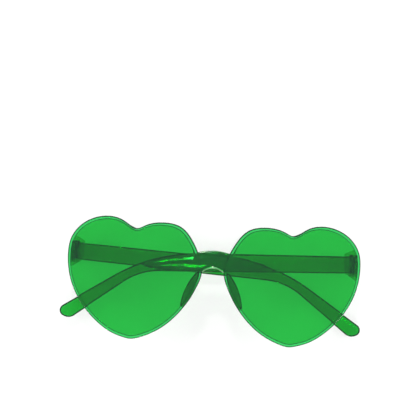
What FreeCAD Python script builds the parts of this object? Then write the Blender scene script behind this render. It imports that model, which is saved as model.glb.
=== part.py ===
import FreeCAD, Part
import math
import os
import Sketcher

Vector = FreeCAD.Vector
Rotation = FreeCAD.Rotation
Placement = FreeCAD.Placement

# Heart shaped sunglasses, folded and lying with the lenses up.
# Front axes: x to the right, y to the brow, z out of the lenses, zero at the crown of the front.
# Arm axes: x from the hinge to the tip, y along the hinge to the brow, zero on the hinge axis.
# Left and right are as seen with the lenses towards the viewer: side is 1 on the right, -1 on the left.

# Driving sizes in millimetres and degrees
sizes = {
    # Front
    "lens_width": 67.8,
    "lens_height": 61.4,
    "lens_thickness": 2.2,
    "rim_width": 1.4,
    "rim_thickness": 1.2,
    "rim_front_round": 0.2,
    "rim_bevel_width": 0.5,
    "rim_bevel_depth": 0.75,
    "nose_gap": 10.5,
    "wrap_radius": 240.0,
    "bond_gap": 0.05,
    # Bridge
    "bridge_top": 13.8,
    "bridge_height": 8.8,
    "bridge_crown": 1.7,
    "bridge_arch": 3.2,
    "bridge_thickness": 2.7,
    "bridge_round": 0.9,
    # Nose pads
    "pad_inset": 0.8,
    "pad_width": 4.8,
    "pad_length": 23.0,
    "pad_span": 30.0,
    "pad_depth": 6.0,
    "pad_middle": -5.7,
    "pad_turn": 25.0,
    "pad_tip_round": 0.9,
    "pad_round": 0.7,
    # Pegs that locate the pads and endpieces on the lenses
    "peg_radius": 0.6,
    "peg_depth": 1.2,
    # Endpieces
    "endpiece_inset": 1.4,
    "endpiece_length": 6.9,
    "endpiece_tall": 17.6,
    "endpiece_short": 9.7,
    "endpiece_wall": 0.8,
    "endpiece_peg_inset": 1.7,
    # Hinges
    "hinge_drop": 17.6,
    "barrel_radius": 2.1,
    "barrel_drop": 2.4,
    "knuckle_height": 3.2,
    "tongue_height": 3.2,
    "knuckle_gap": 0.12,
    "sweep_gap": 0.3,
    # Hinge screws
    "screw_radius": 0.7,
    "screw_gap": 0.05,
    "head_radius": 1.25,
    "head_height": 0.8,
    "slot_width": 0.4,
    "slot_depth": 0.4,
    # Temples
    "arm_reach": 146.2,
    "arm_height": 9.3,
    "arm_thickness": 3.0,
    "arm_outer_round": 1.9,
    "arm_bevel_width": 1.7,
    "arm_bevel_depth": 0.5,
    "arm_slope": 2.4,
    "arm_gap": 0.34,
    "arm_rock": 0.5,
    "tail_drop": 27.2,
    "bend_upper_round": 80.0,
    "bend_lower_round": 30.0,
    "tip_upper_round": 3.0,
    "tip_lower_round": 5.0,
    "fold_gap": 0.35,
    "root_length": 12.0,
    "root_step": 0.25,
}

# Heart outline on the right, round from the cleft by the outer lobe, as shares of lens width and height
heart_outline_shares = [
    (0.003, 0.394),
    (0.050, 0.422),
    (0.105, 0.464),
    (0.222, 0.500),
    (0.345, 0.477),
    (0.440, 0.405),
    (0.490, 0.308),
    (0.500, 0.197),
    (0.472, 0.006),
    (0.387, -0.190),
    (0.242, -0.367),
    (0.113, -0.460),
    (0.040, -0.488),
    (-0.020, -0.500),
    (-0.085, -0.486),
    (-0.198, -0.432),
    (-0.366, -0.268),
    (-0.466, -0.084),
    (-0.500, 0.048),
    (-0.483, 0.147),
    (-0.421, 0.295),
    (-0.330, 0.409),
    (-0.190, 0.444),
    (-0.060, 0.413),
]
# Where the bridge's top and bottom curves end, inside the hearts, as shares of the nose gap
bridge_top_share = 0.91
bridge_bottom_share = 0.60
# Corners of a temple: shares of arm reach, arm height and tail drop
bend_upper_shares = (0.680, 0.624, 0.0)
tip_upper_shares = (1.018, 0.0, -0.896)
tip_lower_shares = (0.9625, 0.0, -1.040)
bend_lower_shares = (0.7285, -0.420, 0.0)
root_upper_share = 0.565
root_lower_share = -0.362
# How much of a temple's side the rounds at its ends may take
side_round_share = 0.97
# How much of the step behind a lens's rim is rounded
core_round_share = 0.75

# Sizes that the sheet works out: a lens's back edge, the ball of a nose pad's ridge, the whole hinge
worked_out = {
    "core_round": f"={core_round_share} * (lens_thickness - rim_thickness)",
    "pad_ball": "=(pad_span^2 / 4 + pad_depth^2) / (2 * pad_depth)",
    "stack_height": "=2 * knuckle_height + tongue_height + 2 * knuckle_gap",
}

doc = FreeCAD.newDocument("heart_sunglasses")
sheet = doc.addObject("Spreadsheet::Sheet", "Sizes")
for row, (name, content) in enumerate({**sizes, **worked_out}.items(), start=1):
    sheet.set(f"A{row}", name)
    sheet.set(f"B{row}", str(content))
    sheet.setAlias(f"B{row}", name)
doc.recompute()


def size(name):
    """A size as the sheet holds it."""
    return float(getattr(sheet, name))


def new_body(label):
    body = doc.addObject("PartDesign::Body", label)
    body.Label = label
    return body


def sketch_on(body, name, role, offset=0):
    """A sketch on one of the body's own origin planes, moved along the plane's normal."""
    sketch = body.newObject("Sketcher::SketchObject", name)
    plane = next(feature for feature in body.Origin.OriginFeatures if feature.Role == role)
    sketch.AttachmentSupport = (plane, [""])
    sketch.MapMode = "FlatFace"
    sketch.AttachmentOffset = Placement(Vector(0, 0, offset), Rotation())
    return sketch


def add_line(sketch, start, end):
    sketch.addGeometry(Part.LineSegment(Vector(*start, 0), Vector(*end, 0)))


def add_arc(sketch, start, middle, end):
    sketch.addGeometry(Part.Arc(Vector(*start, 0), Vector(*middle, 0), Vector(*end, 0)))


def add_polygon(sketch, points):
    for start, end in zip(points, points[1:] + points[:1]):
        add_line(sketch, start, end)


def add_rounded(sketch, corners):
    """A polygon of points, each with the radius that rounds its corner, or zero."""
    spots = [Vector(*point, 0) for point, _ in corners]
    sides = [after - spot for spot, after in zip(spots, spots[1:] + spots[:1])]
    turns = [side.getAngle(sides[index - 1]) for index, side in enumerate(sides)]
    reaches = [radius * math.tan(turn / 2) for (_, radius), turn in zip(corners, turns)]
    # Two rounds share a side that is too short for both
    room = []
    for side, first, second in zip(sides, reaches, reaches[1:] + reaches[:1]):
        most = side_round_share * side.Length
        room.append(most / max(most, first + second))
    joins = []
    for index, (spot, turn) in enumerate(zip(spots, turns)):
        reach = reaches[index] * min(room[index - 1], room[index])
        start = spot - sides[index - 1] * (reach / sides[index - 1].Length)
        end = spot + sides[index] * (reach / sides[index].Length)
        if reach:
            radius = reach / math.tan(turn / 2)
            inward = (start + end - spot * 2).normalize()
            middle = spot + inward * (radius / math.cos(turn / 2) - radius)
            sketch.addGeometry(Part.Arc(start, middle, end))
        joins.append((start, end))
    for (_, start), (end, _) in zip(joins, joins[1:] + joins[:1]):
        sketch.addGeometry(Part.LineSegment(start, end))


def add_circle(sketch, centre, radius):
    """A circle whose radius follows an expression on the sheet."""
    index = sketch.addGeometry(Part.Circle(Vector(*centre, 0), Vector(0, 0, 1), size("barrel_radius")))
    number = sketch.addConstraint(Sketcher.Constraint("Radius", index, size("barrel_radius")))
    sketch.setExpression(f"Constraints[{number}]", radius)


def extrude(kind, body, sketch, name, length, symmetric=False, reverse=False):
    """A Pad or Pocket of a sketch, as long as an expression on the sheet."""
    feature = body.newObject("PartDesign::" + kind, name)
    feature.Profile = sketch
    feature.SideType = "Symmetric" if symmetric else "One side"
    feature.Reversed = reverse
    feature.setExpression("Length", length)
    return feature


def edges_of(base, chosen):
    """Names of a feature's edges that pass a test."""
    doc.recompute()
    return [f"Edge{i}" for i, edge in enumerate(base.Shape.Edges, start=1) if chosen(base.Shape, edge)]


def round_edges(body, base, name, radius, chosen):
    """A fillet on the edges of the last feature that pass a test."""
    feature = body.newObject("PartDesign::Fillet", name)
    feature.Base = (base, edges_of(base, chosen))
    feature.setExpression("Radius", radius)
    return feature


def bevel_edges(body, base, name, first, second, chosen):
    """A bevel on edges of the last feature that pass a test, with a size on each of their two faces."""
    feature = body.newObject("PartDesign::Chamfer", name)
    feature.Base = (base, edges_of(base, chosen))
    feature.ChamferType = "Two distances"
    feature.setExpression("Size", first)
    feature.setExpression("Size2", second)
    return feature


def surfaces_beside(shape, edge, kind):
    """The surfaces of one kind that meet at an edge."""
    surfaces = [face.Surface for face in shape.ancestorsOfType(edge, Part.Face)]
    return [surface for surface in surfaces if isinstance(surface, kind)]


# Places that several pieces share, in front axes
lens_middle = (size("nose_gap") + size("lens_width")) / 2
front_edge = size("nose_gap") / 2 + size("lens_width")
rim_radius = size("wrap_radius") - size("rim_thickness")
back_radius = size("wrap_radius") - size("lens_thickness")
seat_radius = back_radius - size("bond_gap")
half_stack = size("stack_height") / 2
pad_inward = math.radians(size("pad_turn"))


def lens_back(x, y):
    """Height of the lenses' back face over a point of the front."""
    return math.sqrt(back_radius ** 2 - x * x - y * y) - size("wrap_radius")


endpiece_outer = front_edge - size("endpiece_inset")
endpiece_inner = endpiece_outer - size("endpiece_length")
hinge_x = endpiece_outer - size("barrel_radius")
hinge_y = size("lens_height") / 2 - size("hinge_drop")
endpiece_back = lens_back(endpiece_outer, hinge_y + size("endpiece_tall") / 2) - size("endpiece_wall")
hinge_z = endpiece_back - size("barrel_drop")


def heart_curve(side, grow=0):
    """The outline of a heart, grown all round by a small gap."""
    width = size("lens_width") + 2 * grow
    height = size("lens_height") + 2 * grow
    points = [Vector(side * (lens_middle + width * a), height * b, 0) for a, b in heart_outline_shares]
    curve = Part.BSplineCurve()
    curve.interpolate(Points=points, PeriodicFlag=True)
    return curve


def add_shell(kind, body, name, outer_radius, inner_radius):
    """A piece of round shell about the front's centre of wrap, as a Revolution or a Groove."""
    sketch = sketch_on(body, name + "Sketch", "YZ_Plane")
    reach = math.asin(size("lens_height") / size("wrap_radius"))

    def at(radius, angle):
        return (radius * math.sin(angle), radius * math.cos(angle) - size("wrap_radius"))

    for radius in (outer_radius, inner_radius):
        add_arc(sketch, at(radius, -reach), at(radius, 0), at(radius, reach))
    for angle in (-reach, reach):
        add_line(sketch, at(outer_radius, angle), at(inner_radius, angle))
    ends = [Vector(way * size("lens_height"), -size("wrap_radius"), 0) for way in (-1, 1)]
    sketch.addGeometry(Part.LineSegment(*ends), True)
    feature = body.newObject("PartDesign::" + kind, name)
    feature.Profile = sketch
    feature.ReferenceAxis = (sketch, ["Axis0"])
    feature.Midplane = True
    feature.setExpression("Angle", "2 * asin((Sizes.nose_gap + Sizes.lens_width) / Sizes.wrap_radius)")
    return feature


def keep_inside(body, name, curves):
    """Cut away everything outside the outline that the curves close."""
    sketch = sketch_on(body, name + "Sketch", "XY_Plane")
    far = 2 * (front_edge + size("lens_height"))
    add_polygon(sketch, [(-far, -far), (far, -far), (far, far), (-far, far)])
    for curve in curves:
        sketch.addGeometry(curve)
    return extrude("Pocket", body, sketch, name, "2 * Sizes.wrap_radius", symmetric=True)


def inner_edge(level, grow=0):
    """The point on the nose side of the right heart at a height, the heart grown by a small gap."""
    line = Part.makeLine(Vector(0, level, 0), Vector(lens_middle, level, 0))
    return heart_curve(1, grow).toShape().distToShape(line)[1][0][0]


def into_lens(distance):
    """A point so far into the right lens from the middle of its nose pad's edge."""
    inward = Vector(math.cos(pad_inward), math.sin(pad_inward), 0)
    return inner_edge(size("pad_middle")) + inward * distance


def pad_peg(side):
    place = into_lens(size("pad_width") / 2)
    return side * place.x, place.y


def endpiece_peg(side):
    return side * (endpiece_inner + size("endpiece_peg_inset")), hinge_y


def add_peg(body, place):
    """A round peg from a bonded piece into the lens."""
    sketch = sketch_on(body, "PegSketch", "XY_Plane", lens_back(*place) - size("peg_radius"))
    add_circle(sketch, place, "Sizes.peg_radius")
    extrude("Pad", body, sketch, "Peg", "Sizes.peg_depth + Sizes.peg_radius")


def make_lens(side, label):
    """A heart cut from a round shell, with a thinner rim round it and blind holes for the pegs."""
    body = new_body(label)

    def edge_of(radius):
        def chosen(shape, edge):
            balls = surfaces_beside(shape, edge, Part.Sphere)
            wide = edge.BoundBox.XLength > size("lens_width") - size("rim_width")
            return wide and len(balls) == 1 and math.isclose(balls[0].Radius, radius)
        return chosen

    def is_back(shape, edge):
        balls = surfaces_beside(shape, edge, Part.Sphere)
        return any(math.isclose(ball.Radius, back_radius) for ball in balls)

    add_shell("Revolution", body, "CoreBlank", rim_radius, back_radius)
    core = keep_inside(body, "CoreEdge", [heart_curve(side, -size("rim_width"))])
    round_edges(body, core, "CoreRound", "Sizes.core_round", is_back)
    add_shell("Revolution", body, "Blank", size("wrap_radius"), rim_radius)
    edging = keep_inside(body, "Edging", [heart_curve(side)])
    back = edge_of(rim_radius)
    front = edge_of(size("wrap_radius"))
    bevel = bevel_edges(body, edging, "BackBevel", "Sizes.rim_bevel_width", "Sizes.rim_bevel_depth", back)
    round_edges(body, bevel, "FrontRound", "Sizes.rim_front_round", front)
    for name, place in (("PadHole", pad_peg(side)), ("EndpieceHole", endpiece_peg(side))):
        top = lens_back(*place) + size("peg_depth") + size("bond_gap")
        sketch = sketch_on(body, name + "Sketch", "XY_Plane", top)
        add_circle(sketch, place, "Sizes.peg_radius + Sizes.bond_gap")
        extrude("Pocket", body, sketch, name, "Sizes.lens_thickness + Sizes.peg_depth")
    return body


def make_bridge(label):
    """A thicker saddle between the hearts, crowned above and arched below."""
    body = new_body(label)
    bridge_radius = size("wrap_radius") - size("bridge_thickness")
    add_shell("Revolution", body, "Blank", size("wrap_radius"), bridge_radius)
    top = size("bridge_top")
    bottom = top - size("bridge_height")
    top_half = bridge_top_share * size("nose_gap")
    bottom_half = bridge_bottom_share * size("nose_gap")
    top_end = top - size("bridge_crown")
    bottom_end = bottom - size("bridge_arch")
    top_arc = Part.Arc(Vector(-top_half, top_end, 0), Vector(0, top, 0), Vector(top_half, top_end, 0))
    bottom_arc = Part.Arc(
        Vector(-bottom_half, bottom_end, 0), Vector(0, bottom, 0), Vector(bottom_half, bottom_end, 0)
    )
    sides = [
        Part.LineSegment(Vector(way * top_half, top_end, 0), Vector(way * bottom_half, bottom_end, 0))
        for way in (-1, 1)
    ]
    outline = keep_inside(body, "Outline", [top_arc, bottom_arc] + sides)

    def is_long(shape, edge):
        return surfaces_beside(shape, edge, Part.Sphere) and surfaces_beside(shape, edge, Part.Cylinder)

    round_edges(body, outline, "EdgeRound", "Sizes.bridge_round", is_long)
    sketch = sketch_on(body, "HeartsSketch", "XY_Plane")
    for side in (-1, 1):
        sketch.addGeometry(heart_curve(side, size("bond_gap")))
    extrude("Pocket", body, sketch, "Hearts", "2 * Sizes.wrap_radius", symmetric=True)
    return body


def pad_outline(side):
    """A nose pad's outline: the lens edge and a bow meet in two rounded tips."""
    half_rise = size("pad_length") / 2 * math.cos(pad_inward)
    inset = -size("pad_inset")
    low, middle, high = (inner_edge(size("pad_middle") + way * half_rise, inset) for way in (-1, 0, 1))
    edge = Part.Circle(low, middle, high)
    bow_middle = into_lens(size("pad_width"))
    bow = Part.Circle(low, bow_middle, high)
    across = edge.Center - bow.Center
    tip = size("pad_tip_round")
    bow_arm = bow.Radius - tip
    edge_arm = edge.Radius - tip
    along = (across.Length ** 2 + bow_arm ** 2 - edge_arm ** 2) / (2 * across.Length)
    aside = math.sqrt(bow_arm ** 2 - along ** 2)
    forward = Vector(across).normalize()
    sideways = Vector(-forward.y, forward.x, 0)
    bow_ends, edge_ends, tip_arcs = [], [], []
    for way in (-1, 1):
        centre = bow.Center + forward * along + sideways * (way * aside)
        bow_ends.append(centre + (centre - bow.Center).normalize() * tip)
        edge_ends.append(centre + (centre - edge.Center).normalize() * tip)
        tip_arcs.append((bow_ends[-1], centre + sideways * (way * tip), edge_ends[-1]))
    arcs = tip_arcs + [(bow_ends[0], bow_middle, bow_ends[1]), (edge_ends[0], middle, edge_ends[1])]
    return [Part.Arc(*(Vector(side * point.x, point.y, 0) for point in arc)) for arc in arcs]


def make_nose_pad(side, label):
    """A crescent ridge along the lens's inner edge, deepest at its middle, with a peg."""
    body = new_body(label)
    ball = body.newObject("PartDesign::AdditiveSphere", "Ball")
    x, y = pad_peg(side)
    middle = Vector(x, y, lens_back(x, y) + size("pad_ball") - size("pad_depth"))
    plane = next(feature for feature in body.Origin.OriginFeatures if feature.Role == "XY_Plane")
    ball.AttachmentSupport = (plane, [""])
    ball.MapMode = "FlatFace"
    ball.AttachmentOffset = Placement(middle, Rotation(Vector(1, 0, 0), 90))
    ball.setExpression("Radius", "Sizes.pad_ball")
    add_shell("Groove", body, "Seat", seat_radius + 2 * size("pad_ball"), seat_radius)
    outline = keep_inside(body, "Outline", pad_outline(side))

    def is_ridge(shape, edge):
        return any(ball.Radius < back_radius / 2 for ball in surfaces_beside(shape, edge, Part.Sphere))

    round_edges(body, outline, "RidgeRound", "Sizes.pad_round", is_ridge)
    add_peg(body, pad_peg(side))
    return body


def make_endpiece(side, label):
    """A thin four sided pad on the lens that carries the outer two hinge knuckles."""
    body = new_body(label)
    tall = size("endpiece_tall") / 2
    short = size("endpiece_short") / 2
    wall = size("endpiece_wall")
    corners = [
        Vector(side * endpiece_outer, hinge_y - tall, 0),
        Vector(side * endpiece_outer, hinge_y + tall, 0),
        Vector(side * endpiece_inner, hinge_y + short, 0),
        Vector(side * endpiece_inner, hinge_y - short, 0),
    ]
    add_shell("Revolution", body, "Blank", seat_radius + wall, seat_radius - wall)
    edges = [Part.LineSegment(start, end) for start, end in zip(corners, corners[1:] + corners[:1])]
    keep_inside(body, "Outline", edges)
    keep_inside(body, "Edge", [heart_curve(side, -size("rim_width"))])
    radius = size("barrel_radius")
    middle = side * hinge_x
    root = lens_back(endpiece_inner, 0)
    sketch = sketch_on(body, "KnucklesSketch", "XZ_Plane", -hinge_y)
    add_line(sketch, (middle - radius, root), (middle - radius, hinge_z))
    add_arc(sketch, (middle - radius, hinge_z), (middle, hinge_z - radius), (middle + radius, hinge_z))
    add_line(sketch, (middle + radius, hinge_z), (middle + radius, root))
    add_line(sketch, (middle + radius, root), (middle - radius, root))
    extrude("Pad", body, sketch, "Knuckles", "Sizes.stack_height", symmetric=True)
    add_shell("Groove", body, "Seat", seat_radius + 2 * size("endpiece_length"), seat_radius)
    sketch = sketch_on(body, "SlotSketch", "XZ_Plane", -hinge_y)
    low = hinge_z - 2 * radius
    add_polygon(sketch, [
        (middle - 2 * radius, low),
        (middle + 2 * radius, low),
        (middle + 2 * radius, endpiece_back),
        (middle - 2 * radius, endpiece_back),
    ])
    extrude("Pocket", body, sketch, "Slot", "Sizes.tongue_height + 2 * Sizes.knuckle_gap", symmetric=True)
    sketch = sketch_on(body, "BoreSketch", "XZ_Plane", -hinge_y)
    add_circle(sketch, (middle, hinge_z), "Sizes.screw_radius + Sizes.screw_gap")
    extrude("Pocket", body, sketch, "Bore", "2 * Sizes.stack_height", symmetric=True)
    sketch = sketch_on(body, "HeadSeatSketch", "XZ_Plane", size("head_height") - half_stack - hinge_y)
    add_circle(sketch, (middle, hinge_z), "Sizes.head_radius + Sizes.screw_gap")
    extrude("Pocket", body, sketch, "HeadSeat", "2 * Sizes.head_height")
    add_peg(body, endpiece_peg(side))
    return body


def make_screw(label):
    """A slotted hinge screw along y, its head flush with the upper knuckle."""
    body = new_body(label)
    sketch = sketch_on(body, "ShankSketch", "XZ_Plane", half_stack)
    add_circle(sketch, (0, 0), "Sizes.screw_radius")
    extrude("Pad", body, sketch, "Shank", "Sizes.stack_height - Sizes.head_height", reverse=True)
    sketch = sketch_on(body, "HeadSketch", "XZ_Plane", size("head_height") - half_stack)
    add_circle(sketch, (0, 0), "Sizes.head_radius")
    extrude("Pad", body, sketch, "Head", "Sizes.head_height", reverse=True)
    sketch = sketch_on(body, "SlotSketch", "XZ_Plane", -half_stack)
    reach = 2 * size("head_radius")
    half = size("slot_width") / 2
    add_polygon(sketch, [(-reach, -half), (reach, -half), (reach, half), (-reach, half)])
    extrude("Pocket", body, sketch, "Slot", "Sizes.slot_depth", reverse=True)
    return body


def arm_point(shares):
    """A corner of the arm, which slopes down from the hinge."""
    along = shares[0] * size("arm_reach")
    across = shares[1] * size("arm_height") + shares[2] * size("tail_drop")
    slope = math.radians(size("arm_slope"))
    return (
        along * math.cos(slope) + across * math.sin(slope),
        across * math.cos(slope) - along * math.sin(slope),
    )


def make_temple(side, label):
    """A flat arm with a bent, widened tail and the middle hinge knuckle; side 1 grows to +z."""
    body = new_body(label)
    butt = size("sweep_gap") - size("barrel_drop")
    upper = root_upper_share * size("arm_height")
    lower = root_lower_share * size("arm_height")
    sketch = sketch_on(body, "ArmSketch", "XY_Plane", side * size("fold_gap"))
    add_rounded(sketch, [
        ((butt, upper), 0),
        (arm_point(bend_upper_shares), size("bend_upper_round")),
        (arm_point(tip_upper_shares), size("tip_upper_round")),
        (arm_point(tip_lower_shares), size("tip_lower_round")),
        (arm_point(bend_lower_shares), size("bend_lower_round")),
        ((butt, lower), 0),
    ])
    arm = extrude("Pad", body, sketch, "Arm", "Sizes.arm_thickness", reverse=side < 0)

    def edge_at(level):
        def chosen(shape, edge):
            flat = all(math.isclose(vertex.Z, side * level) for vertex in edge.Vertexes)
            at_butt = all(math.isclose(vertex.X, butt) for vertex in edge.Vertexes)
            return flat and not at_butt
        return chosen

    outer_level = size("fold_gap") + size("arm_thickness")
    outer = round_edges(body, arm, "OuterRound", "Sizes.arm_outer_round", edge_at(outer_level))
    inner = edge_at(size("fold_gap"))
    bevel_edges(body, outer, "InnerBevel", "Sizes.arm_bevel_depth", "Sizes.arm_bevel_width", inner)
    sketch = sketch_on(body, "RootSketch", "XY_Plane", side * size("fold_gap"))
    top = upper - size("arm_bevel_width")
    bottom = lower + size("arm_bevel_width")
    add_polygon(sketch, [(0, bottom), (size("root_length"), bottom), (size("root_length"), top), (0, top)])
    extrude("Pad", body, sketch, "Root", "Sizes.root_step", reverse=side > 0)
    clear = size("barrel_radius") + size("sweep_gap")
    sketch = sketch_on(body, "KnuckleRoomSketch", "XZ_Plane")
    add_line(sketch, (-2 * clear, -clear), (0, -clear))
    add_arc(sketch, (0, -clear), (clear, 0), (0, clear))
    add_line(sketch, (0, clear), (-2 * clear, clear))
    add_line(sketch, (-2 * clear, clear), (-2 * clear, -clear))
    extrude("Pocket", body, sketch, "KnuckleRoom", "4 * Sizes.arm_height", symmetric=True)
    sketch = sketch_on(body, "WebSketch", "XZ_Plane")
    web = clear + size("arm_thickness")
    flank = side * size("barrel_radius")
    add_polygon(sketch, [(0, 0), (web, 0), (web, flank), (0, flank)])
    extrude("Pad", body, sketch, "Web", "Sizes.tongue_height", symmetric=True)
    sketch = sketch_on(body, "BarrelSketch", "XZ_Plane")
    add_circle(sketch, (0, 0), "Sizes.barrel_radius")
    extrude("Pad", body, sketch, "Barrel", "Sizes.tongue_height", symmetric=True)
    sketch = sketch_on(body, "BoreSketch", "XZ_Plane")
    add_circle(sketch, (0, 0), "Sizes.screw_radius + Sizes.screw_gap")
    extrude("Pocket", body, sketch, "Bore", "2 * Sizes.tongue_height", symmetric=True)
    return body


# The left arm lies flat on the table and the right one on it, so the front leans with its right side up
lean = math.degrees(math.asin((size("arm_thickness") + size("arm_gap")) / (2 * hinge_x)))
up_y = Vector(0, 1, 0)
up_z = Vector(0, 0, 1)
rise = (
    hinge_x * math.sin(math.radians(lean))
    - hinge_z * math.cos(math.radians(lean))
    + size("fold_gap")
    + size("arm_thickness")
)
lay = Placement(Vector(0, 0, rise), Rotation(up_y, -lean))
hinges = {side: lay * Placement(Vector(side * hinge_x, hinge_y, hinge_z), Rotation()) for side in (-1, 1)}
# The left arm hangs a little in the play of its hinge
rocked = Rotation(up_z, -size("arm_rock"))
folded = {
    1: Placement(Vector(), Rotation(up_y, 180 + lean)),
    -1: Placement(Vector(), Rotation(up_y, lean) * rocked),
}

pieces = []
bridge = make_bridge("bridge")
bridge.Placement = lay
pieces.append(bridge)
for side, word in ((-1, "left"), (1, "right")):
    for made in (
        make_lens(side, "heart_lens_" + word),
        make_nose_pad(side, "nose_pad_" + word),
        make_endpiece(side, "endpiece_" + word),
    ):
        made.Placement = lay
        pieces.append(made)
    screw = make_screw("hinge_screw_" + word)
    screw.Placement = hinges[side]
    temple = make_temple(side, "temple_" + word)
    temple.Placement = hinges[side] * folded[side]
    pieces += [screw, temple]
doc.recompute()

for thing in doc.Objects:
    if {"Invalid", "Error"} & set(thing.State):
        raise RuntimeError(f"{thing.Label} did not build: {thing.State}")
for piece in pieces:
    if piece.Shape.isNull() or not piece.Shape.isValid() or len(piece.Shape.Solids) != 1:
        raise RuntimeError(f"{piece.Label} is not one sound solid")

os.makedirs("parts", exist_ok=True)
for piece in pieces:
    piece.Shape.exportStep(f"parts/{piece.Label}.step")
    box = piece.Shape.BoundBox
    print(f"{piece.Label}: {piece.Shape.Volume:.1f} mm3, z {box.ZMin:.2f} to {box.ZMax:.2f}")
whole = Part.makeCompound([piece.Shape for piece in pieces]).BoundBox
print(f"x {whole.XMin:.2f} to {whole.XMax:.2f}, y {whole.YMin:.2f} to {whole.YMax:.2f}")
for side, word in ((-1, "left"), (1, "right")):
    place = hinges[side].Base
    print(f"hinge {word}: {place.x:.3f} {place.y:.3f} {place.z:.3f}")
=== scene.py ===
import math

import bmesh
import bpy
from mathutils import Matrix, Vector


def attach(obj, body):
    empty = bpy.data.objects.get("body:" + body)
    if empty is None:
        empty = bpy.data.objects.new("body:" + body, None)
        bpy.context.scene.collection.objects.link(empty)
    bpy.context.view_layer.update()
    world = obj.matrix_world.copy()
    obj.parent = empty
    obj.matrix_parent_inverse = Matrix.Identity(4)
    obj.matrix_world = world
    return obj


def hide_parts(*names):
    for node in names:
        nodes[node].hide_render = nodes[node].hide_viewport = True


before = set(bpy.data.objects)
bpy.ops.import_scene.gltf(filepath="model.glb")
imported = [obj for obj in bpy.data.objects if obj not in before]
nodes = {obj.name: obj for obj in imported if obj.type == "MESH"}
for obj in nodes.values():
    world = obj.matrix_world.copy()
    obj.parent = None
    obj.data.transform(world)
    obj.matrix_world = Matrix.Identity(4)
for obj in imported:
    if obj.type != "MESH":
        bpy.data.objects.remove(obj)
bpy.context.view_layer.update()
print("frame loaded:", len(nodes), "pieces")

# what the green plastic is like, in metres
greenPlastic = {
    "ior": 1.56,
    "absorbColor": (0.04, 0.823, 0.177),   # what the plastic lets through
    "absorbDensity": 1300.0,               # per metre
    "tint": (0.20, 0.90, 0.50),
    "tintDeep": (0.17, 0.84, 0.45),
    "clear": 0.968,                        # the rest is a faint haze
    "roughness": 0.015,
    "smudge": 0.05,                        # extra roughness in finger marks
    "smudgeScale": 70.0,
    "smudgeDetail": 4.0,
    "smudgeBreak": 0.6,
    "smudgeFrom": 0.52,                    # noise level where a mark begins, and where it is full
    "smudgeTo": 0.72,
    "rippleScale": 45.0,                   # moulding ripples
    "rippleDetail": 1.0,
    "rippleHeight": 0.00002,
}

# the right arm with two shallow facets along its inner face, in metres
facetedArm = {
    "node": "temple_right",
    "body": "temple_right_arm",
    "slot": "temple_plastic",
    "gridFrom": (-0.045, 0.004),           # the face is cut into a grid, which takes up the facets
    "gridTo": (0.046, 0.017),
    "gridStep": (0.0005, 0.0002),
    "weld": 1e-7,                          # corners nearer than this are one
    "snap": 1e-5,                          # a corner nearer than this to a cut lies on it
    "levelDigits": 5,                      # faces whose heights agree so far are one plane
    "upright": 0.9999,                     # least z of the normal of a face that looks up
    "sharpAngle": 0.20,                    # radians
    "middle": 0.01110,                     # of the face, where x is zero
    "slope": 0.0409,
    "bend": -0.0338,                       # where the tail begins
    "tailSlope": 0.686,
    "bendSoft": 0.018,
    "fall": 0.24,                          # of the facets
    "from": 0.0013,                        # their edges, from the middle line
    "to": 0.0029,
    "narrowFrom": -0.010,                  # where the arm narrows towards the bend
    "narrowTo": -0.033,
    "narrowest": 2.2,                      # times
    "fadeFrom": 0.002,                     # the facets end where the middle line has dropped so far
    "fadeTo": 0.010,
    "hingeFadeFrom": 0.030,                # and short of the hinge
    "hingeFadeTo": 0.045,
}

# bare machined steel of the hinge screws
screwSteel = {
    "color": (0.55, 0.56, 0.54),
    "dark": (0.30, 0.31, 0.30),
    "roughness": 0.28,
    "grainScale": 900.0,
    "grainDetail": 3.0,
    "grainRoughness": 0.12,                # extra roughness in the grain
}

# the table top
table = {
    "size": 6.0,
    "color": (0.92, 0.92, 0.92),
    "white": (1.0, 1.0, 1.0),
    "whiteShare": 0.74,                  # how much of it shows as plain white
    "drop": 0.0002,                      # just under the outer arm
}

# soft boxes, and two small ones that light the arm's facets
lamps = {
    "leftBox": {"place": (-1.00, -0.05, 0.62), "width": 0.50, "height": 0.40, "watts": 7.6},
    "rightBox": {"place": (1.00, -0.05, 0.62), "width": 0.50, "height": 0.40, "watts": 7.6},
    "chinBox": {"place": (-0.05, -1.00, 0.75), "width": 0.60, "height": 0.40, "watts": 8.0},
    "browBox": {"place": (0.05, 1.00, 0.52), "width": 0.90, "height": 0.22, "watts": 2.5},
    "chinStrip": {"place": (-0.0075, -0.272, 1.084), "width": 0.075, "height": 0.10, "watts": 3.0},
    "browStrip": {"place": (-0.1375, 0.720, 0.858), "width": 0.165, "height": 0.10, "watts": 5.0},
}
room = {"color": (1.0, 1.0, 1.0), "level": 0.18}

# camera on the lower pair of the picture, angles in degrees, lengths in metres
camera = {
    "place": (-0.00556, -0.08757, 0.45097),
    "aim": (-0.00408, 0.03613, 0.01831),
    "roll": 3.975,
    "focal": 78.17,
    "sensor": 36.0,
    "clipStart": 0.01,
}


class Wire:  # a socket that can stand in a sum
    def __init__(self, socket):
        self.socket = socket

    def reckon(self, operation, first, second):
        node = self.socket.id_data.nodes.new("ShaderNodeMath")
        node.operation = operation
        for slot, value in zip(node.inputs, (first, second)):
            plug(slot, value)
        return Wire(node.outputs[0])

    def __add__(self, other):
        return self.reckon("ADD", self, other)

    def __radd__(self, other):
        return self.reckon("ADD", other, self)

    def __mul__(self, other):
        return self.reckon("MULTIPLY", self, other)

    def __rmul__(self, other):
        return self.reckon("MULTIPLY", other, self)


def plug(slot, value):  # link a wire, or set a plain value
    if isinstance(value, Wire):
        slot.id_data.links.new(value.socket, slot)
        return
    if isinstance(value, tuple) and len(value) == 3 and slot.type == "RGBA":
        value = (*value, 1.0)
    slot.default_value = value


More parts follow.
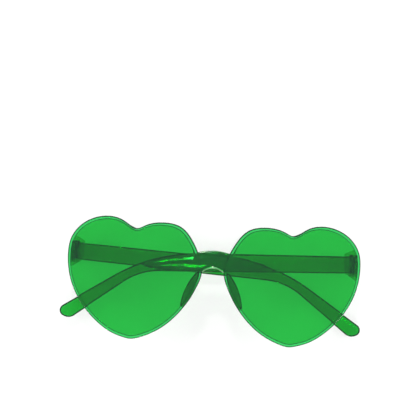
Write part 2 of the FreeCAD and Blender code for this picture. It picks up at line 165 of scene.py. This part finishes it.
class Finish:  # one material and its nodes
    def __init__(self, name):
        self.material = bpy.data.materials.new(name)
        self.material.use_nodes = True
        self.tree = self.material.node_tree
        self.tree.nodes.clear()
        self.output = self.tree.nodes.new("ShaderNodeOutputMaterial")

    def node(self, kind, settings=None, sockets=None, out=0):
        made = self.tree.nodes.new("ShaderNode" + kind)
        for name, value in (settings or {}).items():
            setattr(made, name, value)
        for name, value in (sockets or {}).items():
            plug(made.inputs[name], value)
        return Wire(made.outputs[out])

    def objectPlace(self):
        return self.node("TexCoord", out="Object")

    def show(self, surface, volume=None):
        plug(self.output.inputs["Surface"], surface)
        if volume:
            plug(self.output.inputs["Volume"], volume)
        return self.material


def makePlastic(name, spec):
    finish = Finish(name)
    place = finish.objectPlace()
    smudge = finish.node("TexNoise", sockets={
        "Vector": place, "Scale": spec["smudgeScale"],
        "Detail": spec["smudgeDetail"], "Roughness": spec["smudgeBreak"],
    })
    patches = finish.node("MapRange", sockets={
        "Value": smudge, "From Min": spec["smudgeFrom"], "From Max": spec["smudgeTo"],
    })
    ripple = finish.node("TexNoise", sockets={
        "Vector": place, "Scale": spec["rippleScale"], "Detail": spec["rippleDetail"],
    })
    bump = finish.node("Bump", sockets={
        "Strength": 1.0, "Distance": spec["rippleHeight"], "Height": ripple,
    })
    color = finish.node("Mix", {"data_type": "RGBA"}, {
        "Factor": ripple, 6: spec["tintDeep"], 7: spec["tint"],
    }, out=2)
    surface = finish.node("BsdfPrincipled", sockets={
        "Base Color": color,
        "Roughness": spec["roughness"] + patches * spec["smudge"],
        "IOR": spec["ior"],
        "Transmission Weight": spec["clear"],
        "Normal": bump,
    })
    inside = finish.node("VolumeAbsorption", sockets={
        "Color": spec["absorbColor"], "Density": spec["absorbDensity"],
    })
    return finish.show(surface, inside)


def makeSteel(name, spec):
    finish = Finish(name)
    place = finish.objectPlace()
    grain = finish.node("TexNoise", sockets={
        "Vector": place, "Scale": spec["grainScale"], "Detail": spec["grainDetail"],
    })
    color = finish.node("Mix", {"data_type": "RGBA"}, {
        "Factor": grain, 6: spec["dark"], 7: spec["color"],
    }, out=2)
    surface = finish.node("BsdfPrincipled", sockets={
        "Base Color": color,
        "Metallic": 1.0,
        "Roughness": spec["roughness"] + grain * spec["grainRoughness"],
    })
    return finish.show(surface)


def makeTableTop(name, spec):
    finish = Finish(name)
    rays = ("Is Camera Ray", "Is Glossy Ray", "Is Transmission Ray")
    camera, glossy, through = (finish.node("LightPath", out=ray) for ray in rays)
    direct = camera.reckon("MAXIMUM", camera, camera.reckon("MAXIMUM", glossy, through))
    lit = finish.node("BsdfDiffuse", sockets={"Color": spec["color"]})
    white = finish.node("Emission", sockets={"Color": spec["white"], "Strength": 1.0})
    return finish.show(finish.node("MixShader", sockets={0: direct * spec["whiteShare"], 1: lit, 2: white}))


def ramp(value, start, end):
    return min(max((value - start) / (end - start), 0.0), 1.0)


def facetDepth(x, y, spec):  # how far the facets lie under the flat face
    tail = (spec["bend"] - x) * spec["tailSlope"]
    near = max(spec["bendSoft"] - abs(tail), 0.0) / spec["bendSoft"]
    drop = max(tail, 0.0) + near ** 3 * spec["bendSoft"] / 6
    narrow = 1.0 + ramp(x, spec["narrowFrom"], spec["narrowTo"]) * (spec["narrowest"] - 1.0)
    across = abs(y - (spec["middle"] + x * spec["slope"] - drop)) * narrow
    past = max(min(across, spec["to"]) - spec["from"], 0.0) / narrow
    tailFade = 1.0 - ramp(drop, spec["fadeFrom"], spec["fadeTo"])
    hingeFade = 1.0 - ramp(x, spec["hingeFadeFrom"], spec["hingeFadeTo"])
    return past * spec["fall"] * tailFade * hingeFade


def largestFlat(shape, spec):  # the faces of the largest level plane that looks up
    levels = {}
    for face in shape.faces:
        if face.normal.z > spec["upright"]:
            level = round(face.calc_center_median().z, spec["levelDigits"])
            levels.setdefault(level, []).append(face)
    return max(levels.values(), key=lambda faces: sum(face.calc_area() for face in faces))


def addFacetedArm(spec, material):
    shape = bmesh.new()
    shape.from_mesh(nodes[spec["node"]].data)
    bmesh.ops.remove_doubles(shape, verts=shape.verts, dist=spec["weld"])
    shape.normal_update()
    flat = bmesh.ops.dissolve_faces(shape, faces=largestFlat(shape, spec))["region"]
    parts = list({part for face in flat for part in (face, *face.edges, *face.verts)})
    directions = (Vector((1.0, 0.0, 0.0)), Vector((0.0, 1.0, 0.0)))
    for direction, start, end, step in zip(directions, spec["gridFrom"], spec["gridTo"], spec["gridStep"]):
        for cut in range(round((end - start) / step) + 1):
            place = direction * (start + cut * step)
            halves = bmesh.ops.bisect_plane(
                shape, geom=parts, dist=spec["snap"], plane_co=place, plane_no=direction,
            )
            parts = halves["geom"]
    for corner in (part for part in parts if isinstance(part, bmesh.types.BMVert)):
        corner.co.z -= facetDepth(corner.co.x, corner.co.y, spec)
    bmesh.ops.triangulate(shape, faces=shape.faces)
    shape.normal_update()
    for face in shape.faces:
        face.smooth = True
    for edge in shape.edges:
        edge.smooth = edge.calc_face_angle() < spec["sharpAngle"]
    mesh = bpy.data.meshes.new("facetedArm")
    shape.to_mesh(mesh)
    shape.free()
    mesh.materials.append(material)
    arm = bpy.data.objects.new("facetedArm", mesh)
    bpy.context.scene.collection.objects.link(arm)
    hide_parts(spec["node"])
    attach(arm, spec["body"])


def addTable(spec):
    shape = bmesh.new()
    bmesh.ops.create_grid(shape, x_segments=1, y_segments=1, size=spec["size"] / 2)
    bmesh.ops.translate(shape, verts=shape.verts, vec=(0.0, 0.0, -spec["drop"]))
    mesh = bpy.data.meshes.new("tableTop")
    shape.to_mesh(mesh)
    shape.free()
    mesh.materials.append(makeTableTop("tableWhite", spec))
    top = bpy.data.objects.new("tableTop", mesh)
    bpy.context.scene.collection.objects.link(top)


def lookAt(place, aim, roll=0.0):
    back = (Vector(place) - Vector(aim)).normalized()
    right = Vector((0.0, 0.0, 1.0)).cross(back).normalized()
    up = back.cross(right)
    turn = math.radians(roll)
    tilted = right * math.cos(turn) + up * math.sin(turn)
    upright = up * math.cos(turn) - right * math.sin(turn)
    matrix = Matrix((tilted, upright, back)).transposed().to_4x4()
    matrix.translation = Vector(place)
    return matrix


def addLamp(name, spec):
    light = bpy.data.lights.new(name, "AREA")
    light.shape = "RECTANGLE"
    light.size = spec["width"]
    light.size_y = spec["height"]
    light.energy = spec["watts"]
    lamp = bpy.data.objects.new(name, light)
    lamp.matrix_world = lookAt(spec["place"], (0.0, 0.0, 0.0))
    bpy.context.scene.collection.objects.link(lamp)


def addRoom(spec):
    world = bpy.data.worlds.new("studio")
    world.use_nodes = True
    shade = world.node_tree.nodes["Background"]
    shade.inputs["Color"].default_value = (*spec["color"], 1.0)
    shade.inputs["Strength"].default_value = spec["level"]
    bpy.context.scene.world = world


def addCamera(spec):
    lens = bpy.data.cameras.new("camera")
    lens.lens = spec["focal"]
    lens.sensor_width = spec["sensor"]
    lens.sensor_fit = "HORIZONTAL"
    lens.clip_start = spec["clipStart"]
    view = bpy.data.objects.new("camera", lens)
    view.matrix_world = lookAt(spec["place"], spec["aim"], spec["roll"])
    bpy.context.scene.collection.objects.link(view)
    bpy.context.scene.camera = view


plastic = makePlastic("clearGreenPlastic", greenPlastic)
steel = makeSteel("screwSteel", screwSteel)
for name, piece in nodes.items():
    piece.data.materials.clear()
    piece.data.materials.append(steel if "screw" in name else plastic)
print("finishes set")

addFacetedArm(facetedArm, plastic)
print("arm made")

addTable(table)
for name, spec in lamps.items():
    addLamp(name, spec)
addRoom(room)
addCamera(camera)
bpy.context.scene.view_settings.view_transform = "Standard"
print("stage set")
